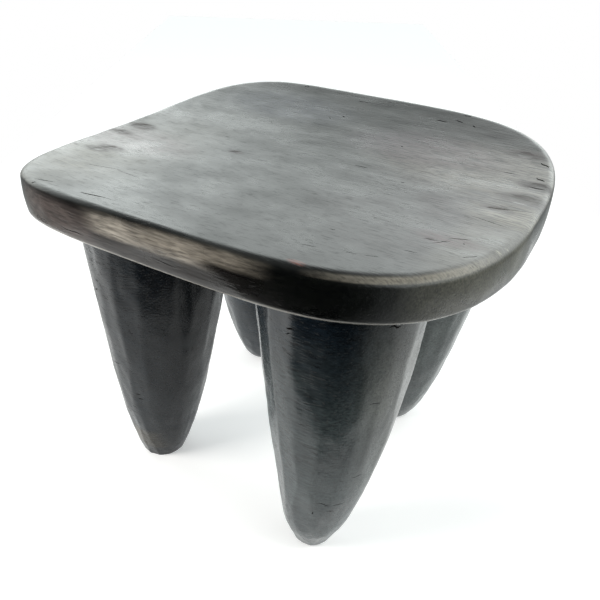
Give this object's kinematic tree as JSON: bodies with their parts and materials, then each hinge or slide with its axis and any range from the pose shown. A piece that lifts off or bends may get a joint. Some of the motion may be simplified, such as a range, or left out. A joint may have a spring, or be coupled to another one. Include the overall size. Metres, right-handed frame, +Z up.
{
  "type": "carved wooden stool",
  "caption": "Low carved hardwood stool: a thick rounded seat dished from front to back, on massive bullet-shaped legs that taper to small blunt feet.",
  "frame": {"origin": "on the floor, under the middle of the seat's outline", "axes": "+Z up, +X along the grain and the seat's long side, -Y towards the front, which is the long side that faces the camera"},
  "size_m": [0.45, 0.412, 0.3574],
  "materials": {
    "blackened_wood": "hand-carved hardwood, stained black, worn and waxed to a soft sheen"
  },
  "bodies": {
    "root": {"seat": "blackened_wood", "leg_front_left": "blackened_wood", "leg_front_right": "blackened_wood", "leg_rear_left": "blackened_wood", "leg_rear_right": "blackened_wood"}
  },
  "joints": []
}
